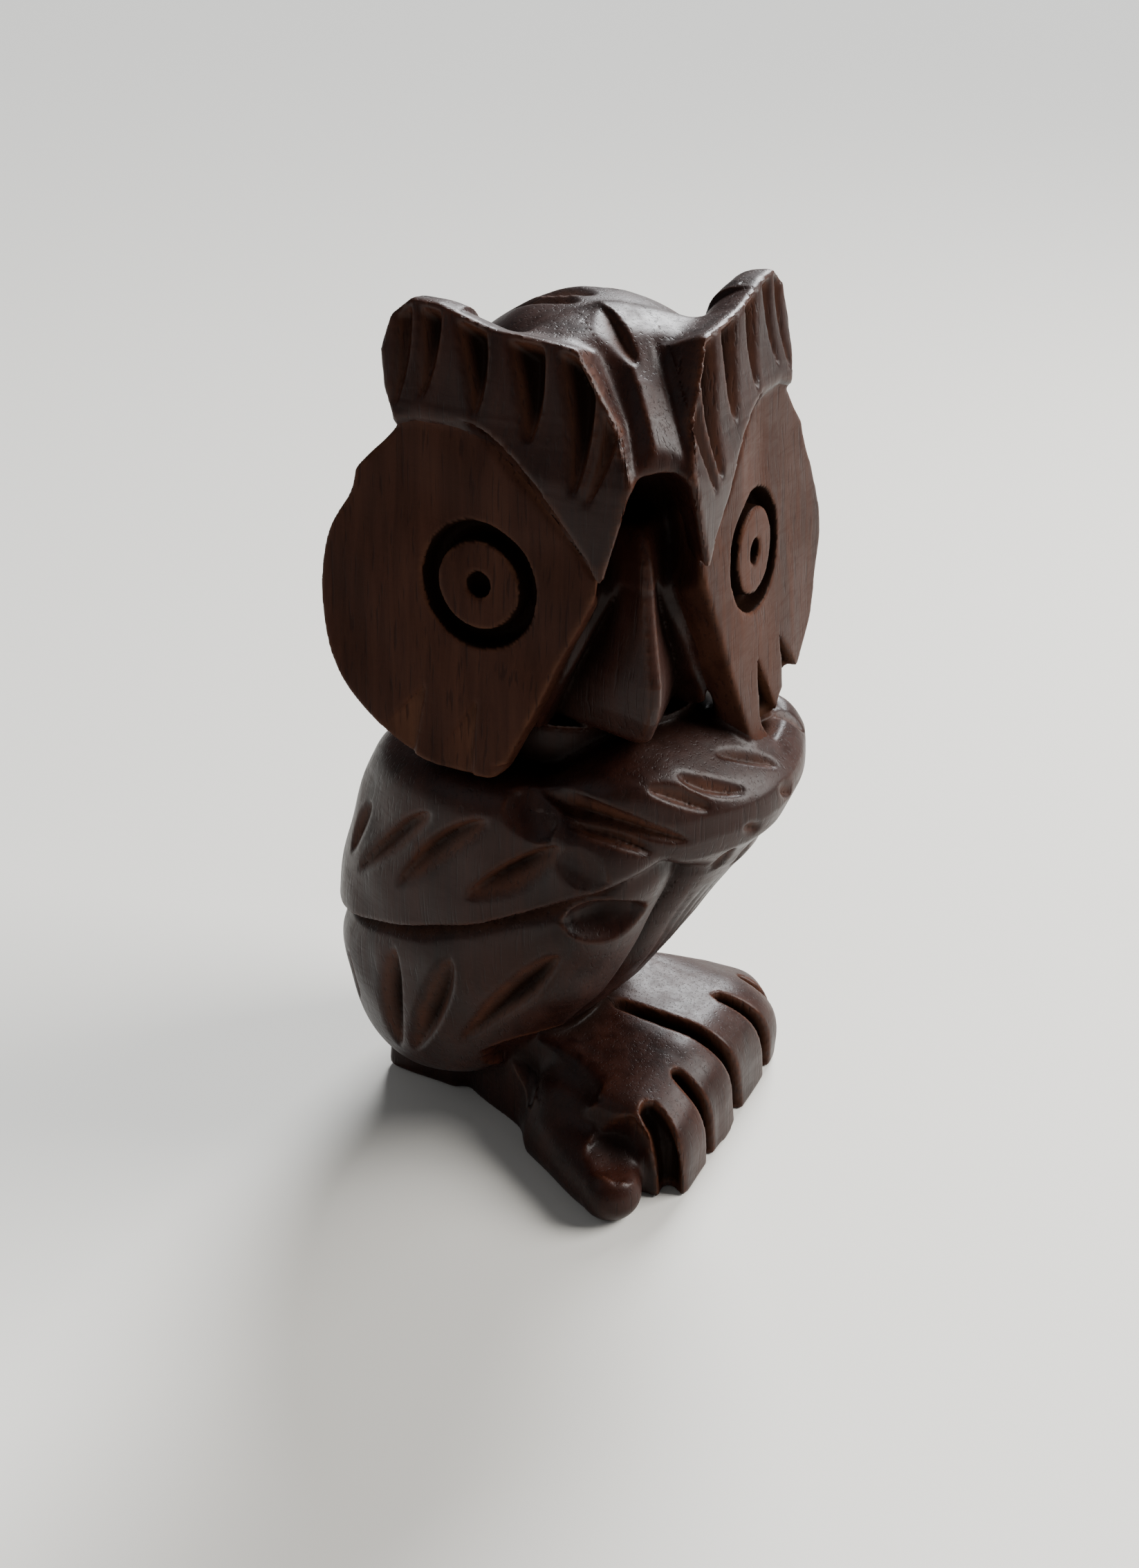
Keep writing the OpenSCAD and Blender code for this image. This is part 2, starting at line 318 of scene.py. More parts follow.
def wrist(x, y, z, side):
    """The front of a folded wing, from the wrist down."""
    top = WRISTS[side]
    foot = (side * 12.2, top[1] + 8.5, top[2] - 19)
    return rod(x, y, z, top, foot, 8.2, 7.6)


def wing_limit(x, y, z, side):
    """Distance beyond the inner limit of a wing, cut back in front to leave a valley beside the belly."""
    slant = 10.4 + 0.5 * (belly_front(z) + 5 - y) * np.clip((53.5 - z) / 5, 0, 1)
    return (np.clip(slant, 8.5, 18) - side * x) * 0.8


def wing_mass(side, upper):
    def form(x, y, z):
        height = tier(y, z)
        if upper:
            shell = smooth_min(egg(x, y, z), wrist(x, y, z, side), 5) - 0.35
            shell = smooth_max(shell, z - NECK_Z, 5)
            shell = smooth_max(shell, -height, 1.6)
        else:
            shell = smooth_min(egg(x, y, z), wrist(x, y, z, side), 5)
            shell = shell + 0.2 + 0.9 * np.exp(-(height / 2.5) ** 2)
            shell = smooth_max(shell, height - 1, 0.5)
        return smooth_max(shell, wing_limit(x, y, z, side), 1.5)
    return form


def belly_front(z):
    """How far forward the middle of the belly reaches."""
    return np.interp(z, [6, 18, 24.6, 31.5, 38, 44, 48, 53],
                     [0, -5.4, -11.2, -15.8, -19.4, -22.9, -25.2, -26.5])


def belly_mass(x, y, z):
    shape = (belly_front(z) + 0.030 * x ** 2 - y) * 0.82
    shape = smooth_max(shape, np.abs(x) - 10.5, 3)
    return smooth_max(smooth_max(shape, z - 60, 3), y - 4, 2)


def back_mass(x, y, z):
    shell = egg(x, y, z, -0.3)
    shell = smooth_max(shell, np.abs(x) - 9.5, 1.5)
    shell = smooth_max(shell, z - NECK_Z, 5)
    return smooth_max(shell, -(y - 2), 2)


def bib_mass(x, y, z):
    # the prow leans out to its fullest at the height of the wrists
    front = np.interp(z, [43, 47.5, 51, 53, 56, 58.8, 66],
                      [-21.4, -25.0, -27.2, -28.8, -29.9, -29.9, -27])
    shape = (front + np.where(x < 0, 0.029, 0.0165) * x ** 2 - y) * 0.85
    top = (z - 59.6 - 0.60 * (y - PROW_Y)) * 0.86 + 0.004 * x ** 2
    lean = np.clip(x, 0, 20) + 1.6 * np.clip(-x - 12.5, 0, 10)
    top = smooth_max(top, (z - 67.0 + 0.32 * lean) * 0.95, 3)
    # it sinks into the shoulders behind
    top = smooth_max(top, (z - 66.0 + 0.75 * (y + 12)) * 0.8, 3)
    shape = smooth_max(shape, top, 2.0)
    # the lower edge rises from the prow to both wrists
    low = 46.0 + 0.34 * np.abs(x) - 0.10 * x - z
    shape = smooth_max(shape, low * 0.8, 1.0)
    side = np.where(x < 0, -x - 18.5, x - 16.5) - 0.35 * (z - 55)
    return smooth_max(shape, side * 0.9, 4)


def tail_mass(x, y, z):
    half = 9.6 - 0.2 * z
    slab = smooth_max(np.abs(x) - half, np.abs(y - (TAIL_Y - 6.5) + 0.06 * z) - 6.5, 1.6)
    return smooth_max(slab, np.abs(z - 12) - 12, 1.2)


def foot_mass(side):
    # outlines of the block, seen from above and from the side, each drawn inside its rounding
    plan = PLANS[side]
    section = [(16, -6), (TOE_Y + 9.7, -6), (TOE_Y + 9.7, 5.4), (TOE_Y + 13, 5.7), (-2, 6.8), (16, 7.3)]

    def form(x, y, z):
        u = side * x
        outline = polygon(u, y, plan) - 4
        reach = smooth_max(u - 15.5, 0 * u, 3)
        drop = 0.10 * np.clip(u - 5, 0, 9) + 0.38 * reach
        shape = smooth_max(polygon(y - 0.02 * reach ** 2, z + drop, section) - 9.7, outline, 2.5)
        if side < 0:
            # the outer right toe points out sideways
            toe = rod(x, y, z, (-11, -7, 3), (-20.6, -16.4, 3.4), 8, 4.3)
            shape = smooth_min(shape, toe, 2.0)
        return smooth_max(shape, -z, 0.6)
    return form


def hollow(x, y, z):
    """The deep hollow between the brows, under the tip of the forehead."""
    a, f = head_frame(x, y)
    bowl = ellipsoid(a, f - 21.5, z - 92.0, (7.0, 10.5, 9.4))
    return smooth_max(bowl, np.abs(a) - 3.3 - 0.22 * (100.5 - z), 1.0)


# each mass, and how far (mm) it melts into the wood that it is joined to
MASSES = {
    "crown": (crown_mass, 3.0),
    "crest": (crest_mass, 1.5),
    "disc_right": (disc_mass(-1), 1.5),
    "disc_left": (disc_mass(1), 1.5),
    "brow_right": (brow_mass(-1), 1.0),
    "brow_left": (brow_mass(1), 1.0),
    "beak": (beak_mass, 1.5),
    "bib": (bib_mass, 1.5),
    "belly": (belly_mass, 1.5),
    "back": (back_mass, 1.0),
    "tail": (tail_mass, 1.2),
    "wing_right_upper": (wing_mass(-1, True), 0.8),
    "wing_right_lower": (wing_mass(-1, False), 0.5),
    "wing_left_upper": (wing_mass(1, True), 0.8),
    "wing_left_lower": (wing_mass(1, False), 0.5),
    "foot_right": (foot_mass(-1), 1.2),
    "foot_left": (foot_mass(1), 1.2),
}


# ---------- the block of wood ----------

def between(field, low, points, kind=np.float32):
    """A field of cells, read between them at an array of points; low is the place of its first cell."""
    place = np.clip((points - low) / STEP, 0, np.array(field.shape) - 1.001)
    cell = place.astype(int)
    t = (place - cell).astype(kind)
    total = np.zeros(len(points), kind)
    for corner in range(8):
        bits = np.array([corner & 1, corner >> 1 & 1, corner >> 2])
        weight = np.prod(np.where(bits, t, 1 - t), axis=1)
        total += weight * field[tuple((cell + bits).T)]
    return total


class Wood:
    """A dense field of distances over the whole figure, negative inside the wood. The form is a copy
    of it from before the latest passes; the paths of a pass are laid on the form."""

    def __init__(self, low, high):
        self.low = low - 4 * STEP
        self.count = np.ceil((high - low) / STEP).astype(int) + 9
        self.field = np.full(self.count, FAR, np.float32)
        self.form = self.field

    def window(self, low, high):
        first = np.clip(np.floor((np.array(low) - self.low) / STEP).astype(int), 0, self.count - 1)
        last = np.clip(np.ceil((np.array(high) - self.low) / STEP).astype(int) + 1, 1, self.count)
        return tuple(slice(a, b) for a, b in zip(first, last))

    def slabs(self, window=None):
        """Thin parts of a window, or of the whole field."""
        first, *others = window or tuple(slice(0, n) for n in self.count)
        for start in range(first.start, first.stop, SLAB):
            yield (slice(start, min(start + SLAB, first.stop)), *others)

    def grid(self, window):
        axes = [np.arange(s.start, s.stop, dtype=np.float32) * STEP + o
                for s, o in zip(window, self.low.astype(np.float32))]
        return np.meshgrid(*axes, indexing="ij", sparse=True)

    def value(self, points):
        """The form between its cells, at an array of points."""
        return between(self.form, self.low, np.atleast_2d(points), float)

    def slope(self, points, reach=0.5):
        points = np.atleast_2d(points)
        parts = [self.value(points + d) - self.value(points - d) for d in np.eye(3) * reach]
        slope = np.stack(parts, axis=1)
        return slope / (np.linalg.norm(slope, axis=1, keepdims=True) + 1e-9)

    def settle(self, points):
        """The nearest places on the surface."""
        points = np.atleast_2d(points).astype(float)
        for _ in range(8):
            points = points - self.slope(points) * self.value(points)[:, None] * 0.9
        return points

    def hit(self, start, way):
        """The first surface on a straight line."""
        way = np.array(way, float) / np.linalg.norm(way)
        stride = 0.25
        steps = np.arange(0, 160, stride)
        values = self.value(np.array(start) + steps[:, None] * way)
        inside = np.nonzero(values < 0)[0]
        if len(inside) == 0:
            raise ValueError(f"no wood on the line from {start}")
        i = inside[0]
        back = values[i] / (values[i] - values[i - 1]) * stride
        return np.array(start) + (steps[i] - back) * way

    def cut(self, path, width, depth, kind="round", shift=0.0, soft=0.25, blunt=0.6, ends=(0, 0)):
        """One pass of a tool along a path on the surface: two places give a straight pass, three a bow,
        more a bent line. Width and depth swell along the pass; ends gives the share that each end
        keeps. kind "vee" has its root shifted sideways by a share of the half width, and "flat" is a
        scoop with a flat bed and crisp edges."""
        path = np.array(path, float)
        t = np.linspace(0, 1, 15)
        if len(path) == 2:
            line = path[0] + t[:, None] * (path[1] - path[0])
        elif len(path) == 3:
            control = 2 * path[1] - (path[0] + path[2]) / 2
            line = ((1 - t)[:, None] ** 2 * path[0] + 2 * (t * (1 - t))[:, None] * control
                    + t[:, None] ** 2 * path[2])
        else:
            nodes = np.linspace(0, 1, len(path))
            line = np.stack([np.interp(t, nodes, path[:, i]) for i in range(3)], axis=1)
        line = self.settle(line)
        normal = self.slope(line, 1.6)
        for _ in range(3):
            normal[1:-1] = (normal[:-2] + 2 * normal[1:-1] + normal[2:]) / 4
            line[1:-1] = (line[:-2] + 2 * line[1:-1] + line[2:]) / 4
        swell = (4 * t * (1 - t)) ** blunt
        swell = np.maximum(swell, np.where(t < 0.5, ends[0], ends[1]))
        wide = width * swell
        deep = depth * swell
        reach = width / 2 + 1.5
        win = self.window(line.min(axis=0) - reach - 2, line.max(axis=0) + reach + 2)
        x, y, z = self.grid(win)
        shape = np.broadcast(x, y, z).shape
        best = np.full(shape, 1e9, np.float32)
        floor = np.full(shape, 1e9, np.float32)
        for i in range(len(t) - 1):
            way = line[i + 1] - line[i]
            length = way @ way + 1e-9
            to = [x - line[i][0], y - line[i][1], z - line[i][2]]
            share = np.clip((to[0] * way[0] + to[1] * way[1] + to[2] * way[2]) / length, 0, 1)
            turn = normal[i + 1] - normal[i]
            to = [to[k] - share * way[k] for k in range(3)]
            height = sum(to[k] * (normal[i][k] + share * turn[k]) for k in range(3))
            off = to[0] ** 2 + to[1] ** 2 + to[2] ** 2
            sideways = np.cross(way, normal[i])
            sign = np.where(to[0] * sideways[0] + to[1] * sideways[1] + to[2] * sideways[2] < 0, -1, 1)
            s = sign * np.sqrt(np.maximum(off - height ** 2, 0))
            half = (wide[i] + (wide[i + 1] - wide[i]) * share) / 2 + 0.05
            low = deep[i] + (deep[i + 1] - deep[i]) * share
            if kind == "vee":
                root = shift * half
                ratio = np.where(s > root, (s - root) / (half - root), (root - s) / (half + root))
                ratio = np.minimum(ratio, 4)
                bed = low * (ratio - 1)
                steep = np.sqrt(1 + (low / (half * (1 - abs(shift)) + 0.05)) ** 2)
            else:
                ratio = np.minimum(np.abs(s / half), 4)
                power = 2 if kind == "round" else 4
                bed = low * (ratio ** power - 1)
                steep = np.sqrt(1 + (power * low / half * np.minimum(ratio, 1.2) ** (power - 1)) ** 2)
            # beyond its width the tool's walls stand steep, so it never eats into rising ground
            bed = bed + np.maximum(np.abs(s) - half, 0) * 1.5
            gap = (bed - height) / steep
            closer = off < best
            best = np.where(closer, off, best)
            floor = np.where(closer, gap, floor)
        near = best < reach ** 2
        old = self.field[win]
        new = smooth_max(old, -floor, soft)
        # the tool only reaches a little way into the wood, so thin walls behind it stay
        near &= old > -(depth + 3.5)
        self.field[win] = np.where(near, new, old)
        return line


def make_uneven(wood):
    """Hand-cut surfaces are never quite true: long shallow waves, without repeats in sight."""
    rng = np.random.default_rng(8)
    waves = []
    for _ in range(7):
        way = rng.normal(size=3)
        way = way / np.linalg.norm(way) * 2 * math.pi / rng.uniform(8, 18)
        waves.append((way, rng.uniform(0, 2 * math.pi)))
    for part in wood.slabs():
        x, y, z = wood.grid(part)
        for way, phase in waves:
            wood.field[part] += 0.045 * np.sin(x * way[0] + y * way[1] + z * way[2] + phase)


def carve(wood, low, high, shape, soft=0.3):
    """Cuts away a shape given as a distance."""
    win = wood.window(low, high)
    x, y, z = wood.grid(win)
    wood.field[win] = smooth_max(wood.field[win], -shape(x, y, z), soft)


def join(wood, names):
    """Joins masses to the block."""
    for name in names:
        form, blend = MASSES[name]
        low, high = box_mm(name)
        # the bib runs on past its box, over both shoulders
        reach = 12 if name == "bib" else 6
        win = wood.window(low - reach, high + reach)
        for part in wood.slabs(win):
            x, y, z = wood.grid(part)
            wood.field[part] = smooth_min(wood.field[part], form(x, y, z), blend)


wood = Wood(FIGURE_LOW, FIGURE_HIGH)
join(wood, [name for name in MASSES if name != "beak"])
carve(wood, on_head(0, 21, 92) - 14, on_head(0, 21, 92) + 14, hollow, 0.8)
join(wood, ["beak"])
wood.form = wood.field.copy()


# ---------- the carver's passes ----------

def from_side(wood, side, places):
    """Places (y, z) on the figure as seen from one side."""
    return [wood.hit((side * 60, y, z), (-side, 0, 0)) for y, z in places]


def from_front(wood, places):
    return [wood.hit((x, -60, z), (0, 1, 0)) for x, z in places]


def from_back(wood, places):
    return [wood.hit((x, 60, z), (0, -1, 0)) for x, z in places]


def from_top(wood, places):
    return [wood.hit((x, y, 140), (0, 0, -1)) for x, y in places]


def round_head(wood, places):
    """Places (turn, z) on the head; a turn of 0 is its back, and it grows towards the right."""
    found = []
    for turn, z in places:
        way = math.radians(turn)
        across, forward = -math.sin(way), -math.cos(way)
        outside = on_head(60 * across, 60 * forward, z)
        found.append(wood.hit(outside, on_head(0, 0, z) - outside))
    return found


# flutes of a brow: from (u, h) at the top ridge to (u, h) at the bottom, and their width
FLUTES = [
    ((-11.4, 24), (-9.2, 11.6), 3.0),
    ((-6.4, 28.6), (-7.6, 12.6), 4.8),
    ((0, 29.4), (-1.8, 17.0), 5.0),
    ((6.4, 29.8), (5.0, 18.8), 4.0),
    ((11.2, 31), (11.6, 19.8), 3.0),
    ((14.6, 31), (14.9, 18.5), 2.4),
]
# the groove between a brow and its disc, as (u, h)
BROW_GROOVE = [(7, 18.6), (2.0, 16.6), (-3.2, 12.9), (-7.7, 7.6), (-11.6, 2.6)]


def carve_brow(wood, side):
    centre = on_face(1, 22, 0, side)
    for top, bottom, width in FLUTES:
        def flute(x, y, z):
            u, h, n = face_frame(x, y, z, side)
            t = np.clip((h - bottom[1]) / (top[1] - bottom[1]), 0, 1.3)
            bow = 0.6 * np.sin(np.clip(t, 0, 1) * math.pi)
            half = width / 2 * np.sqrt(t) + 0.05
            away = (u - bottom[0] - t * (top[0] - bottom[0]) + bow) / half
            # the steep wall is on the side of the beak
            away = np.where(away < 0, np.abs(away) ** 2.6, np.abs(away) ** 1.3)
            floor = brow_front(h) - 0.60 * width * np.sqrt(t) * (1 - away)
            rim = (h - brow_ridge(u) + 0.7 + 0.8 * (brow_front(h) - n)) * 0.75
            end = smooth_max(bottom[1] - h, rim, 0.2)
            return smooth_max((floor - n) * 0.55, end, 0.5)
        carve(wood, centre - 24, centre + 24, flute, 0.35)
    groove = [on_face(u, h, 0, side) for u, h in BROW_GROOVE]
    wood.cut(groove, 1.9, 1.7, "vee", side * 0.5, soft=0.2, blunt=0.35, ends=(0, 0.5))


def carve_eye(wood, side):
    centre = on_face(EYE_OUT, 0, 0, side)

    def ring(x, y, z):
        u, h, n = face_frame(x, y, z, side)
        away = np.hypot(u - EYE_OUT, h)
        wall = np.abs(away - (RING_R + IRIS_R) / 2) - (RING_R - IRIS_R) / 2 + 0.10 * np.clip(-n, 0, 3)
        return smooth_max(wall, -(n + RING_DEPTH), 0.6)

    def pupil(x, y, z):
        u, h, n = face_frame(x, y, z, side)
        return smooth_max(np.hypot(u - EYE_OUT, h) - PUPIL_R, -(n + 2.2), 1.0)

    carve(wood, centre - 12, centre + 12, ring, 0.3)
    carve(wood, centre - 12, centre + 12, pupil, 0.3)


def carve_trough(wood, side):
    """The deep trough between the beak and one disc, from the disc's edge to the beak's facet."""
    centre = on_head(side * 4, 18, 82)

    def trough(x, y, z):
        a, f = head_frame(x, y)
        u, h, n = face_frame(x, y, z, side)
        away = np.maximum(side * a - 0.5, 0)
        slope = np.interp(z, [68, 74, 82, 92], [1.5, 1.9, 2.4, 2.8])
        facet = (beak_ridge(z) - slope * away - f) * 0.6
        shape = smooth_max(0.2 - disc_edge(u, h), facet, 0.3)
        return smooth_max(smooth_max(shape, 7.5 - f, 1.5), smooth_max(67.4 - z, h - 1.5, 0.5), 0.5)
    carve(wood, centre - 17, centre + 17, trough, 0.3)


# notches in the lower rim of a disc: the apex, then the two places where it opens
NOTCHES = [((11.2, -13.6), (13.1, -24.6), (20.8, -24.2)), ((4.3, -14), (4.9, -24.8), (11.1, -24.8))]


def carve_notches(wood, side):
    centre = on_face(DISC_OUT, -DISC_R, 0, side)
    deepest = -3.4 if side > 0 else -0.6
    for apex, inner, outer in NOTCHES:
        def notch(x, y, z):
            u, h, n = face_frame(x, y, z, side)
            # the floor rises from the steep inner wall to the outer one
            floor = deepest + 0.12 * -deepest * np.clip(u - inner[0], 0, 8)
            return smooth_max(polygon(u, h, [apex, inner, outer]), floor - n, 0.4)
        carve(wood, centre - 13, centre + 13, notch, 0.3)


# almond gouges that fan out over the crown, from (x, y) to (x, y) off the head's axis
CROWN_GOUGES = [
    ((-0.9, 10), (-3.5, -0.1)),
    ((1.4, 7.4), (-0.8, -0.7)),
    ((5.6, 4.6), (4.2, -1.6)),
    ((10, 1.5), (5.8, -3.2)),
]


def carve_crown(wood):
    for gouge in CROWN_GOUGES:
        path = from_top(wood, [(HEAD_X + x, HEAD_Y + y) for x, y in gouge])
        wood.cut(path, 3.2, 1.3, "vee", 0.4)
    # one more runs down the left flank of the crest
    wood.cut([(-5.9, -6.7, 114.7), (-10.2, -10.9, 112.7), (-11.6, -13.7, 110.8)], 3.0, 1.1, "vee", -0.4)
    # rows of short gouges on the unseen back of the head
    for row, z in enumerate((107, 99.5, 92, 84.5, 77)):
        for i in range(-3, 4):
            turn = i * 21 + (10.5 if row % 2 else 0)
            if abs(turn) < 48:
                path = round_head(wood, [(turn, z + 3.2), (turn + 1.5, z - 3.2)])
                wood.cut(path, 3.0, 0.9, "vee", 0.35)


# gouges on one wing as (y, z) from its side, with their width
WING_GOUGES = [
    ([(22.6, 43.4), (18.6, 52.4)], 3.2),
    ([(20.4, 42.2), (12.6, 50.6), (6.9, 56.2)], 3.8),
    ([(12.6, 44.0), (5.3, 52.0), (-1.3, 57.4)], 4.0),
    ([(2.2, 45.8), (-4.8, 50.8), (-10.6, 56.2)], 4.4),
    ([(24.6, 27), (25.2, 17)], 3.0),
    ([(14.2, 33.8), (16.2, 24.5), (17.6, 12.5)], 4.6),
    ([(5.2, 35.6), (8.9, 26.0), (14.6, 13.8)], 4.2),
    ([(-9.4, 39.2), (-3.1, 31.4), (6.6, 18.6)], 5.0),
]
# the crease under the upper tier, as (y, z) from the side
CREASE = [(25.5, 33), (17, 36), (9, 38.6), (2, 40.8), (-4, 43.8), (-11, 47.9), (-17, 51.4)]


def carve_wing(wood, side):
    for places, width in WING_GOUGES:
        path = from_side(wood, side, places)
        wood.cut(path, width, 0.36 * width, "vee", side * 0.45, soft=0.3, blunt=0.65)
    crease = from_side(wood, side, CREASE)
    wood.cut(crease, 2.0, 1.3, "vee", side * -0.5, soft=0.3, blunt=0.3, ends=(0.4, 0.4))


def carve_chest(wood):
    for places, width, depth in BIB_GOUGES:
        wood.cut(places, width, depth, "vee", 0.3, soft=0.25)
    # the scalloped lower edge
    for x in (-7.5, -2, 3.5, 9):
        foot = 46.2 + 0.34 * abs(x) - 0.10 * x
        scallop = from_front(wood, [(x - 1, foot + 3), (x, foot - 0.4)])
        wood.cut(scallop, 2.4, 0.7, "round", blunt=0.4, ends=(0, 1))
    # fine lines fan down the belly
    for i in range(-4, 5):
        line = from_front(wood, [(2.1 * i, 45), (1.7 * i, 36), (1.2 * i, 27)])
        wood.cut(line, 1.3, 0.28, "vee", soft=0.15)


# gouges on the chest and round the right wrist, with their width and depth
BIB_GOUGES = [
    ([(-6.3, -22.5, 63.6), (-2.5, -25.3, 62.1), (0.5, -28.2, 59.9)], 2.4, 1.0),
    ([(-13.4, -20.5, 63.9), (-11, -23.8, 61.9), (-6.8, -27.2, 59.9)], 2.4, 1.0),
    ([(-17, -18.3, 63.2), (-14.7, -21.9, 61.9), (-12.3, -25, 59.6)], 2.4, 1.0),
    ([(-19.6, -6, 61.2), (-20.2, -11, 60.6), (-19.1, -17.6, 59.2), (-14.5, -23.8, 56.1)], 2.9, 1.3),
    ([(-21.4, -10.4, 58.8), (-20.3, -15.5, 58.2), (-17.6, -20, 55.2)], 2.4, 1.2),
    ([(8, -20, 62), (10.2, -23.6, 60.6), (11.6, -26, 58.2)], 2.4, 0.9),
    ([(-1.9, -29.3, 58.4), (1.2, -29.8, 56.4)], 2.2, 0.8),
    ([(-8.6, -27.8, 56.1), (-5.4, -28.5, 54.4)], 2.2, 0.8),
]

# slots between the toes, as places on the block, with their width and depth
SLOTS = [
    ([(-13.6, -17.6, 13), (-14.4, -20.6, 11), (-15.8, -22.6, 6), (-16.6, -23.6, 1)], 3.3, 3.2),
    ([(-6.8, -19.0, 15), (-7.2, -22.6, 13), (-6.8, -25.2, 8), (-5.8, -25.6, 1)], 2.1, 3.6),
    ([(0.6, -3.8, 16), (1.2, -14, 15.8), (1.8, -21.5, 13.5), (2.8, -25.2, 8), (4.4, -25.4, 1)], 2.7, 3.8),
    ([(10.9, -17.0, 15), (12.4, -21.6, 13), (14.0, -25.0, 7), (15.2, -25.4, 1)], 2.3, 3.6),
    ([(19.6, -17.6, 12.5), (20.4, -20.6, 10.5), (21.4, -22.6, 7)], 1.6, 2.4),
]


def carve_feet(wood):
    for places, width, depth in SLOTS:
        wood.cut(places, width, depth, "flat", soft=0.5, blunt=0.22, ends=(0, 1))


def carve_back(wood):
    for side in (-1, 1):
        edge = from_back(wood, [(side * 8.5, 58), (side * 9.6, 44), (side * 9.6, 28), (side * 8.8, 12)])
        wood.cut(edge, 2.6, 1.6, "vee", side * 0.3, blunt=0.3)
    for row, z in enumerate((54, 46.5, 39, 31.5, 24)):
        for x in ((-4.4, 4.4) if row % 2 else (0,)):
            wood.cut(from_back(wood, [(x, z + 3.4), (x, z - 3.4)]), 3.6, 1.1, "vee", 0.3)
    for x in (-6, -2, 2, 6):
        wood.cut([(x, TAIL_Y, 14), (x, TAIL_Y, 1)], 2.0, 0.9, "vee", blunt=0.3, ends=(0.3, 1))


# hollows of a wing, with their width, depth and softness: two behind the wrist, one under the upper tier
WING_HOLLOWS = [
    ([(21, -3, 60.2), (21.9, -5.6, 59.2), (22.6, -8.8, 56.6)], 5.6, 1.3, 1.2),
    ([(22.9, -10, 54.8), (22.8, -13, 53.4), (22.2, -16, 52)], 4.6, 1.0, 1.2),
    ([(21.6, -9.8, 44.6), (19.4, -15, 45), (15, -18, 45)], 7.2, 3.2, 0.6),
]


def shape_hollows(wood):
    """Broad hollows, cut and smoothed before the finer gouges."""
    for side in (-1, 1):
        carve_trough(wood, side)
        for places, width, depth, soft in WING_HOLLOWS:
            wood.cut([(side * x, y, z) for x, y, z in places], width, depth, soft=soft)
        # the sides of the foot block are scooped out behind the outer toes, lower down on the left
        high = 13 if side < 0 else 6.5
        scoop = [(side * 9.5, 4.5, high), (side * 12.6, -5, high), (side * 14, -12, high - 1)]
        wood.cut(scoop, 10.5, 2.5, "round", soft=1.6, blunt=0.5)
    # the dished top of the outer right toe
    dish = [(-17, -13, 9), (-19.6, -16.5, 8), (-21.8, -17.6, 6)]
    wood.cut(dish, 7.6, 1.3, "round", soft=1.6)


def flatten_base(wood):
    """Nothing reaches below the surface that the figurine stands on."""
    x, y, z = wood.grid(wood.window(FIGURE_LOW - FAR, FIGURE_HIGH + FAR))
    wood.field = np.maximum(wood.field, -z)


make_uneven(wood)
shape_hollows(wood)
wood.form = wood.field.copy()
for turned in (-1, 1):
    carve_brow(wood, turned)
    carve_eye(wood, turned)
    carve_notches(wood, turned)
    carve_wing(wood, turned)
carve_crown(wood)
carve_chest(wood)
carve_feet(wood)
carve_back(wood)
flatten_base(wood)


# ---------- one named piece for each mass ----------

def head_side(x, y, z):
    return NECK_Z - z


def everything(x, y, z):
    """All the wood that is left; the sum gives the answer the shape of the grid."""
    return -FAR + 0 * (x + y + z)


def iris_plug(side):
    """The round island of an eye, down to the floor of its ring."""
    def form(x, y, z):
        u, h, n = face_frame(x, y, z, side)
        away = np.hypot(u - EYE_OUT, h) - (RING_R + IRIS_R) / 2
        return np.maximum(away, -(n + RING_DEPTH + 0.2))
    return form


def brow_wood(side):
    """A brow and the wood just behind its face, as far as the ridge along its top."""
    def form(x, y, z):
        u, h, n = face_frame(x, y, z, side)
        a = head_frame(x, y)[0]
        lower = np.interp(u, *zip(*BROW_OUTLINE[:7])) - 0.5 - h
        outline = np.maximum(polygon(u, h, BROW_OUTLINE) - 3, lower)
        return np.maximum(outline, np.maximum(-(n + 2.8), 4 - side * a))
    return form


def beak_wood(x, y, z):
    a, f = head_frame(x, y)
    return np.maximum(np.maximum(np.abs(a) - 11, 5.5 - f), np.maximum(z - 94, 66.8 - z))


def crest_wood(x, y, z):
    a, f = head_frame(x, y)
    return np.maximum(np.maximum(np.abs(a - 0.3) - 4, 4 - f), 100.4 - z)


def bib_wood(x, y, z):
    return np.maximum(bib_mass(x, y, z) - 0.9, y + 2)


def wing_wood(side, upper):
    """All the wood on one side, above or below the crease."""
    def form(x, y, z):
        inner = wing_limit(x, y, z, side)
        return np.maximum(inner, -tier(y, z)) if upper else inner
    return form


def front_half(x, y, z):
    return y - 4 + 0 * x


def half_foot(side):
    def form(x, y, z):
        return np.maximum(foot_mass(side)(x, y, z), -side * x)
    return form


# Two neighbours share a strip this wide (mm), so that no crack shows between them.
OVERLAP = 0.16

# Each mass claims the wood inside its form, grown by a little, that no mass before it has claimed.
CLAIMS = [
    ("iris_right", iris_plug(-1), 0),
    ("iris_left", iris_plug(1), 0),
    ("brow_right", brow_wood(-1), 0),
    ("brow_left", brow_wood(1), 0),
    ("disc_right", disc_mass(-1, 3.0), 0.3),
    ("disc_left", disc_mass(1, 3.0), 0.3),
    ("beak", beak_wood, 0),
    ("crest", crest_wood, 0),
    ("bib", bib_wood, 0),
    ("crown", head_side, 0),
    ("foot_right", half_foot(-1), 0.9),
    ("foot_left", half_foot(1), 0.9),
    ("tail", tail_mass, 0.8),
    ("wing_right_upper", wing_wood(-1, True), 0.3),
    ("wing_left_upper", wing_wood(1, True), 0.3),
    ("wing_right_lower", wing_wood(-1, False), 0.3),
    ("wing_left_lower", wing_wood(1, False), 0.3),
    ("belly", front_half, 0),
    ("back", everything, 0),
]


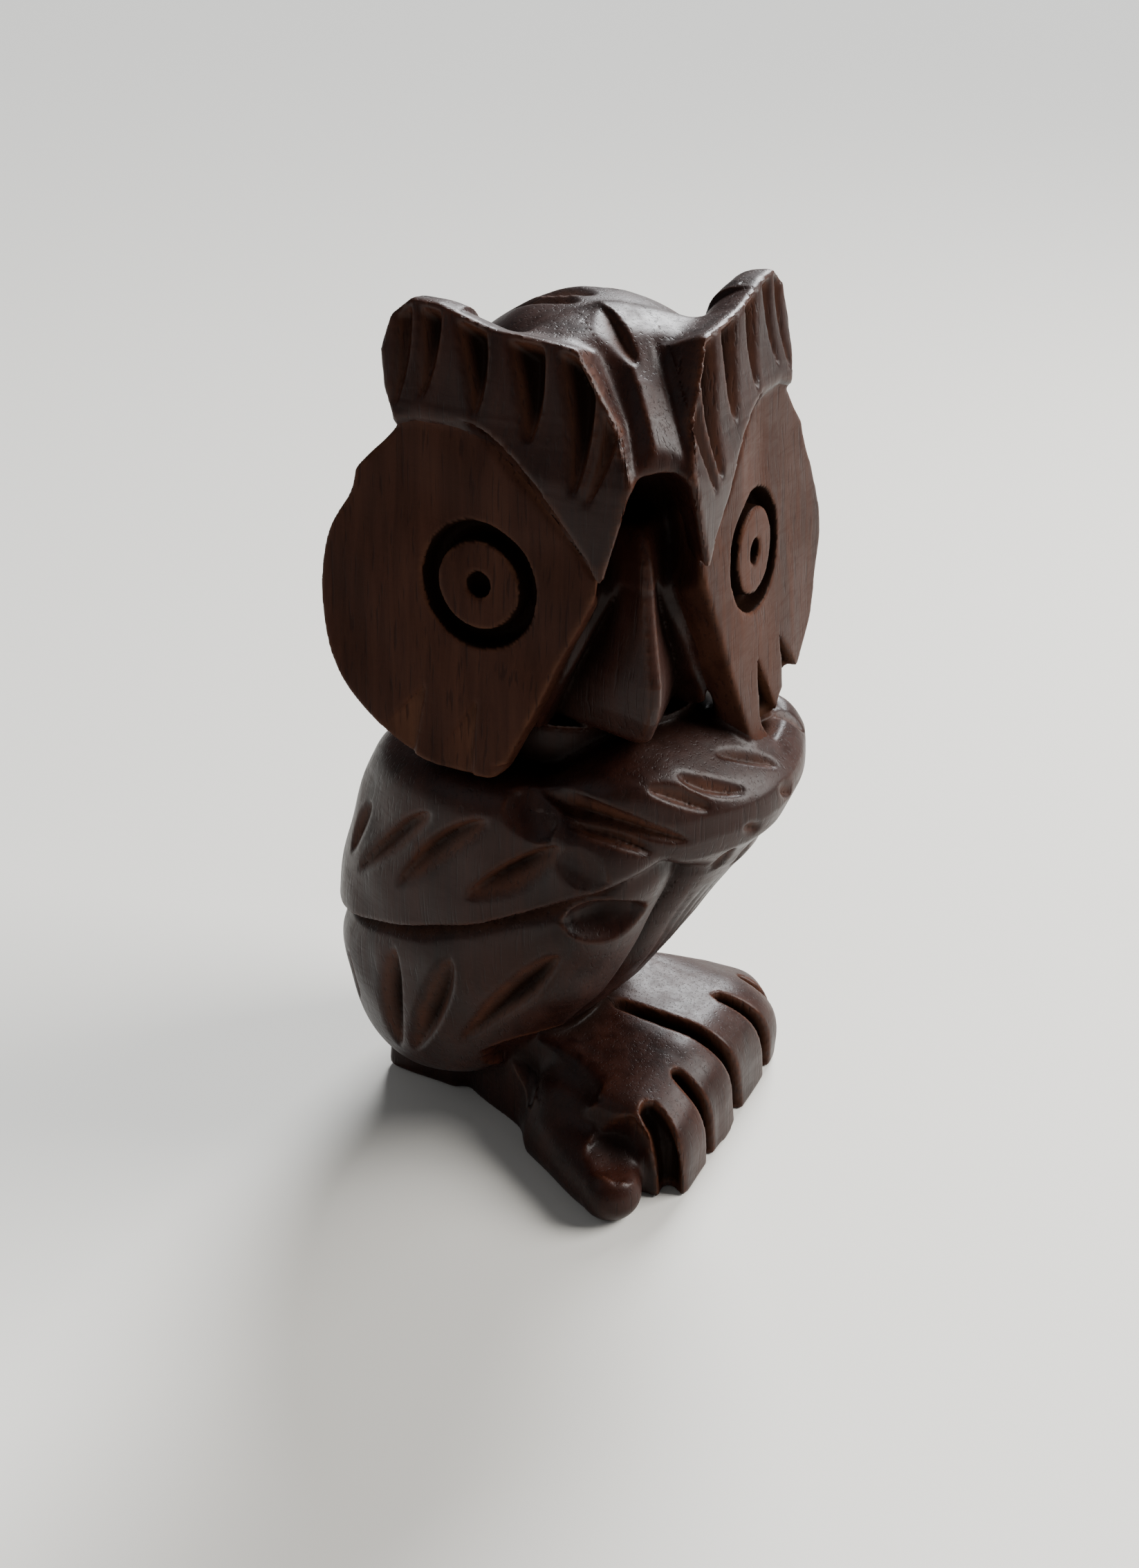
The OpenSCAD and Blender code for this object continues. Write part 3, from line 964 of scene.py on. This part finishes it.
def slope_between(field, low, points):
    reach = np.eye(3) * STEP * 0.5
    parts = [between(field, low, points + d) - between(field, low, points - d) for d in reach]
    return np.stack(parts, axis=1) / STEP


def sharpen(points, solid, region, low):
    """Pulls the points beside a border onto the border itself, so that two neighbours meet in a line."""
    near = np.abs(between(solid, low, points)) < 0.6 * STEP
    near &= np.abs(between(region, low, points)) < 0.6 * STEP
    moved = points[near]
    for _ in range(3):
        a, b = between(solid, low, moved), between(region, low, moved)
        ga, gb = slope_between(solid, low, moved), slope_between(region, low, moved)
        aa, bb, ab = (ga * ga).sum(1), (gb * gb).sum(1), (ga * gb).sum(1)
        det = aa * bb - ab ** 2 + 0.02
        move = ((a * bb - b * ab) / det)[:, None] * ga + ((b * aa - a * ab) / det)[:, None] * gb
        moved = moved - np.clip(move, -0.5 * STEP, 0.5 * STEP)
    points[near] = moved
    return points


def blurred(field, reach):
    """The mean over a small box of cells, one axis at a time."""
    wide = 2 * reach + 1
    for axis in range(3):
        margins = [(reach + 1, reach) if a == axis else (0, 0) for a in range(3)]
        total = np.cumsum(np.pad(field, margins, "edge"), axis=axis, dtype=np.float64)
        upper = np.take(total, range(wide, total.shape[axis]), axis=axis)
        lower = np.take(total, range(0, total.shape[axis] - wide), axis=axis)
        field = ((upper - lower) / wide).astype(np.float32)
    return field


def extent(inside):
    """The window of the cells that hold wood, with a margin of two cells."""
    slices = []
    for axis in range(3):
        others = tuple(a for a in range(3) if a != axis)
        used = np.nonzero(inside.any(axis=others))[0]
        slices.append(slice(max(used[0] - 2, 0), used[-1] + 3))
    return tuple(slices)


def add_mesh(name, points, triangles, quads, marks, material, slot):
    mesh = bpy.data.meshes.new(name)
    count = len(triangles) + len(quads)
    corners = np.concatenate([triangles[:, ::-1].ravel(), quads[:, ::-1].ravel()])
    starts = np.concatenate([np.arange(len(triangles)) * 3,
                             len(triangles) * 3 + np.arange(len(quads)) * 4])
    mesh.vertices.add(len(points))
    mesh.vertices.foreach_set("co", (points * MM).astype(np.float32).ravel())
    mesh.loops.add(len(corners))
    mesh.loops.foreach_set("vertex_index", corners.astype(np.int32))
    mesh.polygons.add(count)
    mesh.polygons.foreach_set("loop_start", starts.astype(np.int32))
    mesh.update(calc_edges=True)
    mesh.validate()
    mesh.shade_smooth()
    mesh.set_sharp_from_angle(angle=math.radians(48))
    for label, values in marks.items():
        mark = mesh.attributes.new(label, "FLOAT", "POINT")
        mark.data.foreach_set("value", values.astype(np.float32))
    mesh.materials.append(material)
    piece = bpy.data.objects.new("carved_" + name, mesh)
    bpy.context.scene.collection.objects.link(piece)
    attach(piece, "root")
    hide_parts(name)
    return piece


def slot_of(name):
    return "face_hardwood" if name.startswith(("disc", "iris")) else "hardwood"


def build_pieces(wood, materials):
    claimed = np.full(wood.field.shape, FAR, np.float32)
    # convexity of the wood: ridges are lightened as real wear, creases are darkened as painted shade
    wear_and_crease_shade = blurred(wood.field, 2 if STEP < 0.4 else 1) - wood.field
    # mean distance over a wide box, used to paint shade into wide hollows
    shade = blurred(wood.field, round(3.4 / STEP))
    for name, form, grow in CLAIMS:
        region = np.full(wood.field.shape, FAR, np.float32)
        for part in wood.slabs():
            x, y, z = wood.grid(part)
            region[part] = form(x, y, z) - grow
        region = np.maximum(region, -claimed - OVERLAP)
        claimed = np.minimum(claimed, region)
        solid = np.maximum(wood.field, region)
        win = extent(solid < 0)
        low = wood.low + np.array([s.start for s in win]) * STEP
        grid = openvdb.FloatGrid(FAR)
        grid.copyFromArray(np.ascontiguousarray(solid[win]))
        points, triangles, quads = grid.convertToPolygons(isovalue=0.0, adaptivity=0.0)
        points = points.astype(float) * STEP + low
        points = sharpen(points, wood.field[win], region[win], low)
        depth = -between(wood.form[win], low, points)
        # the floor and walls of each eye ring, and the pupil, are coloured near black
        eye_ring_black = np.zeros(len(points))
        if slot_of(name) == "face_hardwood":
            u, h, n = face_frame(*points.T, -1 if "right" in name else 1)
            away = np.hypot(u - EYE_OUT, h)
            ring = np.abs(away - (RING_R + IRIS_R) / 2) < (RING_R - IRIS_R) / 2 + 0.25
            eye_ring_black = np.where((n < -0.12) & (ring | (away < PUPIL_R + 0.25)), 1, 0)
        marks = {
            "eye_ring_black": eye_ring_black,
            "cut": np.clip((depth - 0.12) / 0.5, 0, 1),
            # depth below the form: also used to paint shade into the deepest cuts
            "deep": np.clip((depth - 0.55) / 0.9, 0, 1),
            "shade": np.clip(-between(shade[win], low, points) / 1.4, 0, 1),
            "wear_and_crease_shade": np.clip(between(wear_and_crease_shade[win], low, points) / 0.35, -1, 1),
        }
        add_mesh(name, points, triangles, quads, marks, materials[slot_of(name)], slot_of(name))


# ---------- waxed hardwood ----------

class Nodes:
    """Short calls for building one material."""

    def __init__(self, name):
        self.material = bpy.data.materials.new(name)
        self.material.use_nodes = True
        self.tree = self.material.node_tree
        self.shader = self.tree.nodes["Principled BSDF"]
        self.place = self.tree.nodes.new("ShaderNodeTexCoord").outputs["Object"]

    def link(self, source, target):
        if isinstance(source, (int, float)):
            target.default_value = source
        elif isinstance(source, tuple):
            target.default_value = (*source, 1)
        else:
            self.tree.links.new(source, target)

    def noise(self, scale, stretch=(1, 1, 1), detail=2.0, rough=0.5, twist=0.0):
        mapping = self.tree.nodes.new("ShaderNodeMapping")
        mapping.inputs["Scale"].default_value = stretch
        mapping.inputs["Rotation"].default_value = (0.05, -0.04, 0)
        self.tree.links.new(self.place, mapping.inputs["Vector"])
        noise = self.tree.nodes.new("ShaderNodeTexNoise")
        noise.inputs["Scale"].default_value = scale
        noise.inputs["Detail"].default_value = detail
        noise.inputs["Roughness"].default_value = rough
        noise.inputs["Distortion"].default_value = twist
        self.tree.links.new(mapping.outputs["Vector"], noise.inputs["Vector"])
        return noise.outputs["Fac"]

    def mark(self, name):
        node = self.tree.nodes.new("ShaderNodeAttribute")
        node.attribute_name = name
        return node.outputs["Fac"]

    def math(self, kind, a, b=0.0, clamp=False):
        node = self.tree.nodes.new("ShaderNodeMath")
        node.operation = kind
        node.use_clamp = clamp
        self.link(a, node.inputs[0])
        self.link(b, node.inputs[1])
        return node.outputs[0]

    def span(self, value, low, high, to_low=0.0, to_high=1.0):
        node = self.tree.nodes.new("ShaderNodeMapRange")
        self.link(value, node.inputs["Value"])
        for label, number in zip(("From Min", "From Max", "To Min", "To Max"), (low, high, to_low, to_high)):
            node.inputs[label].default_value = number
        return node.outputs["Result"]

    def mix(self, share, a, b):
        node = self.tree.nodes.new("ShaderNodeMix")
        node.data_type = "RGBA"
        self.link(share, node.inputs["Factor"])
        self.link(a, node.inputs[6])
        self.link(b, node.inputs[7])
        return node.outputs[2]


def hardwood(name, dark, light, raw, grey, gloss):
    """Waxed wood between two colours, with a raw colour in the cuts, a grey one in dull clouds, and painted
    shade near black in the hollows.
    """
    n = Nodes(name)
    streaks = n.noise(520, (1, 1, 0.055), 4, 0.6, 0.4)
    bands = n.noise(120, (1, 1, 0.10), 2, 0.5, 0.6)
    pores = n.noise(2400, (1, 1, 0.06), 1, 0.5)
    cloud = n.noise(48, (1, 1, 0.7), 2, 0.5)
    scuffs = n.noise(900, (0.25, 0.25, 1), 3, 0.7, 1.2)
    cut, deep, wear_and_crease_shade, eye_ring_black = n.mark("cut"), n.mark("deep"), n.mark("wear_and_crease_shade"), n.mark("eye_ring_black")

    tone = n.math("ADD", n.span(streaks, 0.34, 0.68, 0, 0.55), n.span(bands, 0.36, 0.66, 0, 0.45), True)
    colour = n.mix(tone, dark, light)
    # the wax has greyed a little in clouds
    colour = n.mix(n.span(cloud, 0.48, 0.72, 0, 0.5), colour, grey)
    # thin finish in the gouges lets the raw wood show
    bare = n.math("MULTIPLY", cut, n.span(streaks, 0.30, 0.62, 0.45, 1.0))
    colour = n.mix(n.math("MULTIPLY", bare, 0.60), colour, raw)
    # rubbed ridges are lighter
    ridge = n.math("MULTIPLY", n.span(wear_and_crease_shade, 0.18, 0.7), n.span(scuffs, 0.40, 0.62, 0.35, 1.0))
    colour = n.mix(n.math("MULTIPLY", ridge, 0.50), colour, raw)
    # painted shade: the deepest cuts, the creases and the wide hollows are darkened towards near black where
    # shade falls, and the eye rings and pupils are coloured near black
    painted_shade_and_eye_black = n.math("MAXIMUM", n.math("MULTIPLY", deep, 0.95), n.span(wear_and_crease_shade, -0.75, -0.22, 0.75, 0.0))
    painted_shade_and_eye_black = n.math("MAXIMUM", painted_shade_and_eye_black, n.span(n.mark("shade"), 0.12, 0.70, 0.0, 0.92))
    painted_shade_and_eye_black = n.math("MAXIMUM", painted_shade_and_eye_black, n.math("MULTIPLY", eye_ring_black, 0.96))
    colour = n.mix(painted_shade_and_eye_black, colour, (0.006, 0.003, 0.002))
    colour = n.mix(n.span(pores, 0.60, 0.70, 0, 0.55), colour, (0.012, 0.005, 0.004))
    n.link(colour, n.shader.inputs["Base Color"])

    rough = n.math("ADD", n.span(streaks, 0.3, 0.7, 0.34, 0.46), n.span(scuffs, 0.45, 0.7, 0.0, 0.10))
    rough = n.math("ADD", rough, n.math("MULTIPLY", n.math("MAXIMUM", cut, painted_shade_and_eye_black), 0.16), True)
    n.link(rough, n.shader.inputs["Roughness"])
    n.shader.inputs["Coat Weight"].default_value = 0.3 * gloss
    n.shader.inputs["Coat Roughness"].default_value = 0.22
    # the painted shade also takes the gloss out of those hollows
    n.link(n.span(painted_shade_and_eye_black, 0.2, 1.0, gloss, 0.0), n.shader.inputs["Specular IOR Level"])

    height = n.math("ADD", n.math("MULTIPLY", streaks, 0.6), n.span(pores, 0.58, 0.70, 0.35, 0.0))
    height = n.math("ADD", height, n.math("MULTIPLY", scuffs, 0.30))
    bump = n.tree.nodes.new("ShaderNodeBump")
    bump.inputs["Strength"].default_value = 0.35
    bump.inputs["Distance"].default_value = 0.00022
    n.link(height, bump.inputs["Height"])
    n.link(bump.outputs["Normal"], n.shader.inputs["Normal"])
    return n.material


materials = {
    "hardwood": hardwood("hardwood", (0.0072, 0.0020, 0.0013), (0.026, 0.0074, 0.0042),
                         (0.076, 0.0245, 0.0105), (0.017, 0.0061, 0.0040), 0.13),
    "face_hardwood": hardwood("face_hardwood", (0.017, 0.0060, 0.0038), (0.048, 0.0178, 0.0105),
                              (0.095, 0.040, 0.021), (0.030, 0.0130, 0.0090), 0.03),
}
build_pieces(wood, materials)


# ---------- floor, light and camera ----------

def lamp(name, place, aim, size, power, colour=(1, 1, 1)):
    light = bpy.data.lights.new(name, "AREA")
    light.shape = "RECTANGLE"
    light.size, light.size_y = size
    light.energy = power
    light.color = colour
    lamp_object = bpy.data.objects.new(name, light)
    bpy.context.scene.collection.objects.link(lamp_object)
    lamp_object.location = Vector(place)
    lamp_object.rotation_euler = (Vector(aim) - Vector(place)).to_track_quat("-Z", "Y").to_euler()
    return lamp_object


def soft_sun(place, strength, spread, colour):
    """Even light over the whole floor, from a far window."""
    light = bpy.data.lights.new("window", "SUN")
    light.energy = strength
    light.angle = math.radians(spread)
    light.color = colour
    sun = bpy.data.objects.new("window", light)
    bpy.context.scene.collection.objects.link(sun)
    sun.rotation_euler = (-Vector(place)).to_track_quat("-Z", "Y").to_euler()
    return sun


def floor_piece():
    mesh = bpy.data.meshes.new("floor")
    r = 12.0  # metres, so that its far edge is never in sight
    mesh.from_pydata([(-r, -r, 0), (r, -r, 0), (r, r, 0), (-r, r, 0)], [], [(0, 1, 2, 3)])
    piece = bpy.data.objects.new("floor", mesh)
    bpy.context.scene.collection.objects.link(piece)
    pale = bpy.data.materials.new("pale_floor")
    pale.use_nodes = True
    shader = pale.node_tree.nodes["Principled BSDF"]
    shader.inputs["Base Color"].default_value = (0.66, 0.645, 0.605, 1)
    shader.inputs["Roughness"].default_value = 0.9
    mesh.materials.append(pale)


floor_piece()
middle = Vector((0, 0, 0.055))
lamp("key", (0.26, -0.44, 0.40), middle, (0.34, 0.34), 8.5, (1.0, 0.98, 0.95))
soft_sun((0.60, 0.08, 0.46), 7.6, 26, (0.96, 0.98, 1.0))
lamp("fill", (-0.50, 0.35, 0.50), middle, (0.5, 0.5), 0.5, (0.95, 0.96, 1.0))

world = bpy.data.worlds.new("studio")
world.use_nodes = True
world.node_tree.nodes["Background"].inputs["Color"].default_value = (0.90, 0.92, 0.95, 1)
world.node_tree.nodes["Background"].inputs["Strength"].default_value = 0.16
bpy.context.scene.world = world

camera_data = bpy.data.cameras.new("camera")
# the view of the photograph: from the figurine's right, looking down
camera_data.lens = 39.35
camera_data.sensor_width = 36
camera_data.sensor_fit = "AUTO"
camera_data.clip_start = 0.01
camera = bpy.data.objects.new("camera", camera_data)
bpy.context.scene.collection.objects.link(camera)
camera.location = (-0.1730, -0.0891, 0.1630)
PITCH = math.radians(30.1)
HEADING = math.radians(62.69)
level = math.cos(PITCH)
look = Vector((math.sin(HEADING) * level, math.cos(HEADING) * level, -math.sin(PITCH)))
camera.rotation_euler = look.to_track_quat("-Z", "Y").to_euler()
bpy.context.scene.camera = camera
